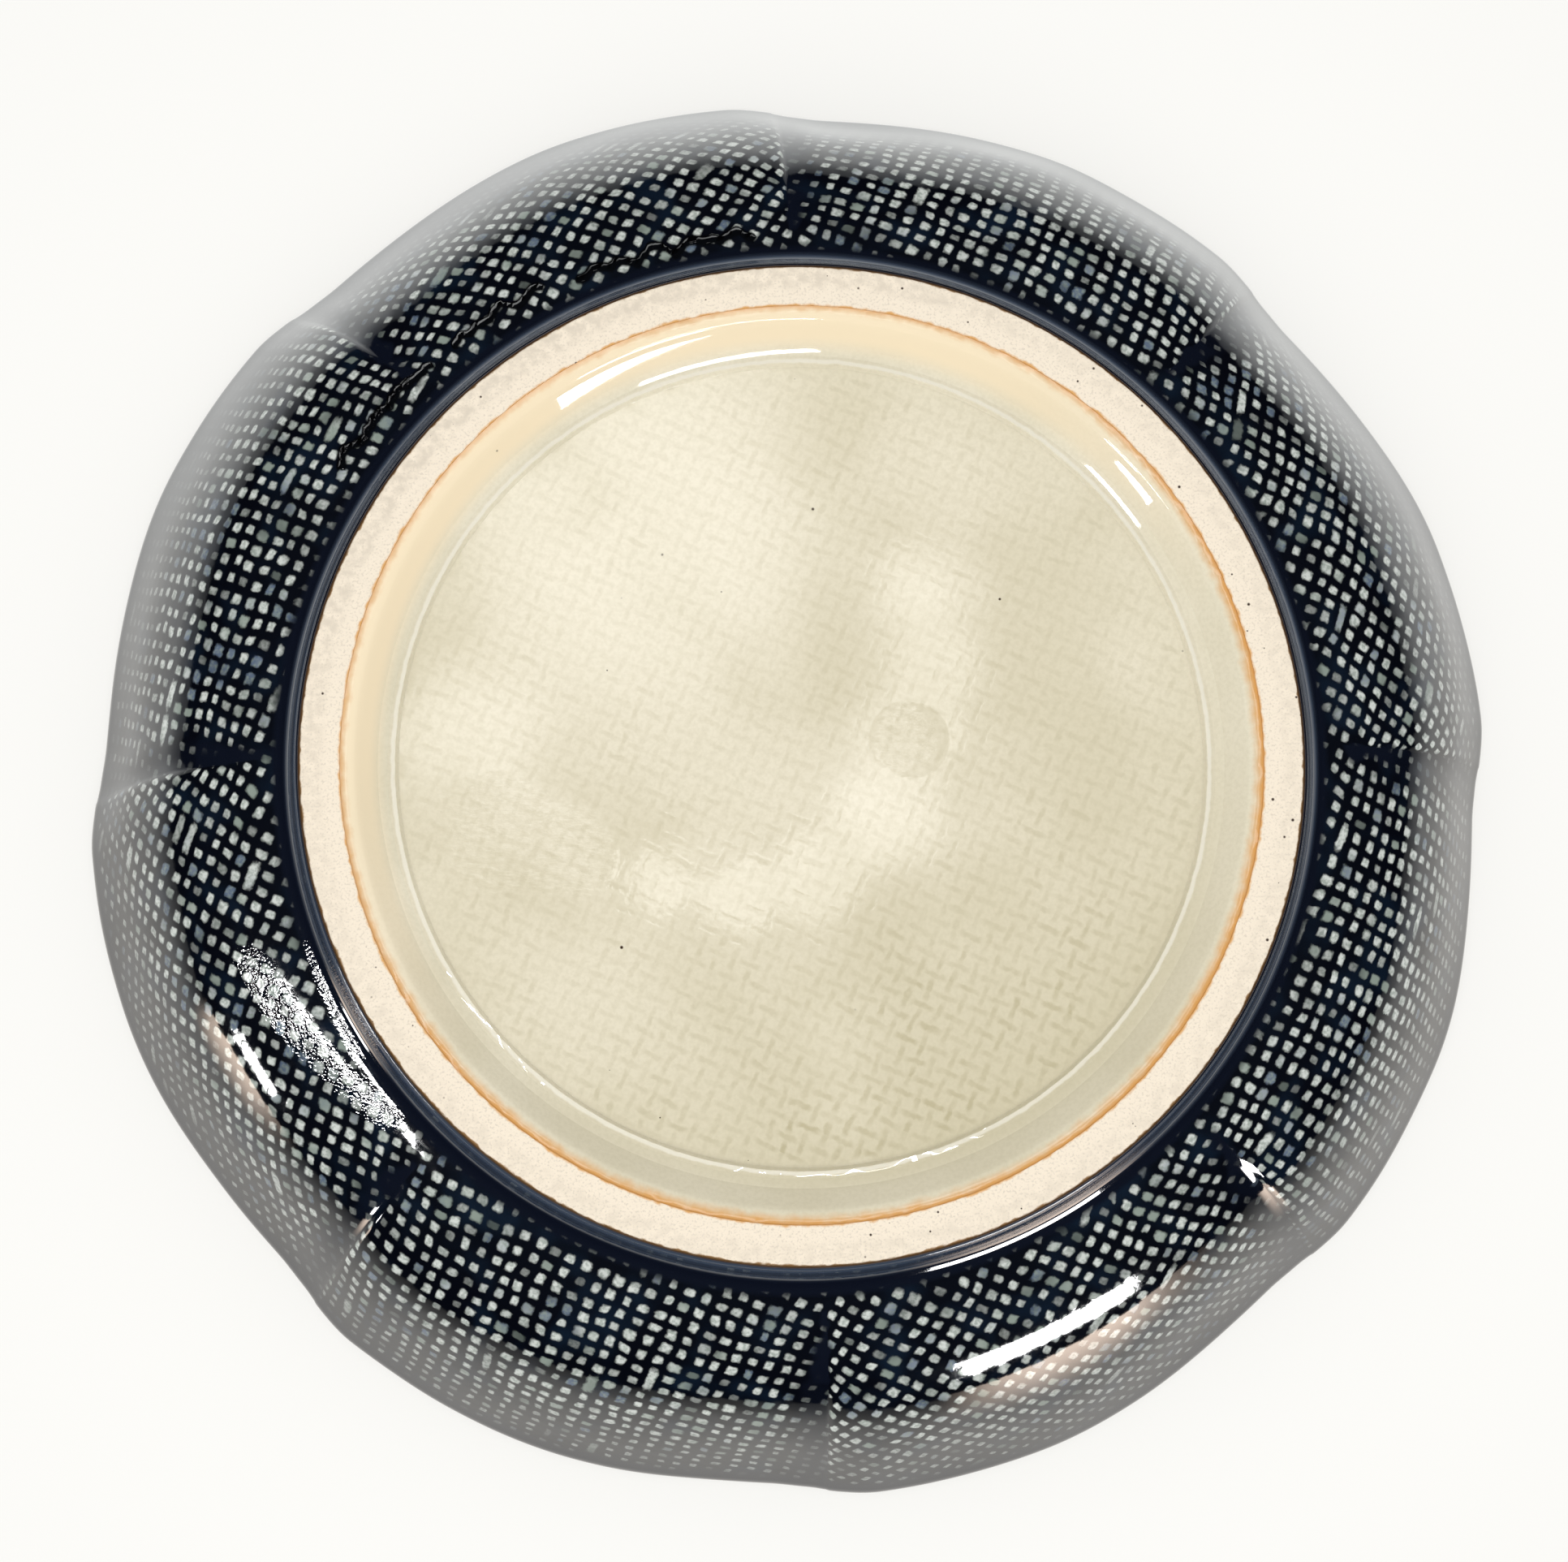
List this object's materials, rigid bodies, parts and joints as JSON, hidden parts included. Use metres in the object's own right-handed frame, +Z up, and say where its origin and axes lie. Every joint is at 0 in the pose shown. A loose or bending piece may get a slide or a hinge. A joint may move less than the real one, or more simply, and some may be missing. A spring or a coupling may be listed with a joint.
{
  "type": "bowl",
  "caption": "Shallow petalled stoneware bowl with a cloth-marked indigo outside, a luted foot ring with a bare resting face, and a pale glaze inside and in the foot well.",
  "frame": {"origin": "centre of the plane that the foot ring rests on", "axes": "+Z up along the bowl's axis, towards the open side; +X towards one of the creases between petals"},
  "size_m": [0.1789, 0.1788, 0.037],
  "materials": {
    "stoneware": "bare fired clay with fine specks",
    "slip": "fired slip",
    "indigo_glaze": "glossy, dark, with pale cloth marks",
    "pale_glaze": "glossy cream"
  },
  "bodies": {
    "root": {"bowl_body": "stoneware", "foot_ring": "stoneware", "luting_slip": "slip", "outside_glaze": "indigo_glaze", "inside_glaze": "pale_glaze", "foot_well_glaze": "pale_glaze"}
  },
  "joints": []
}
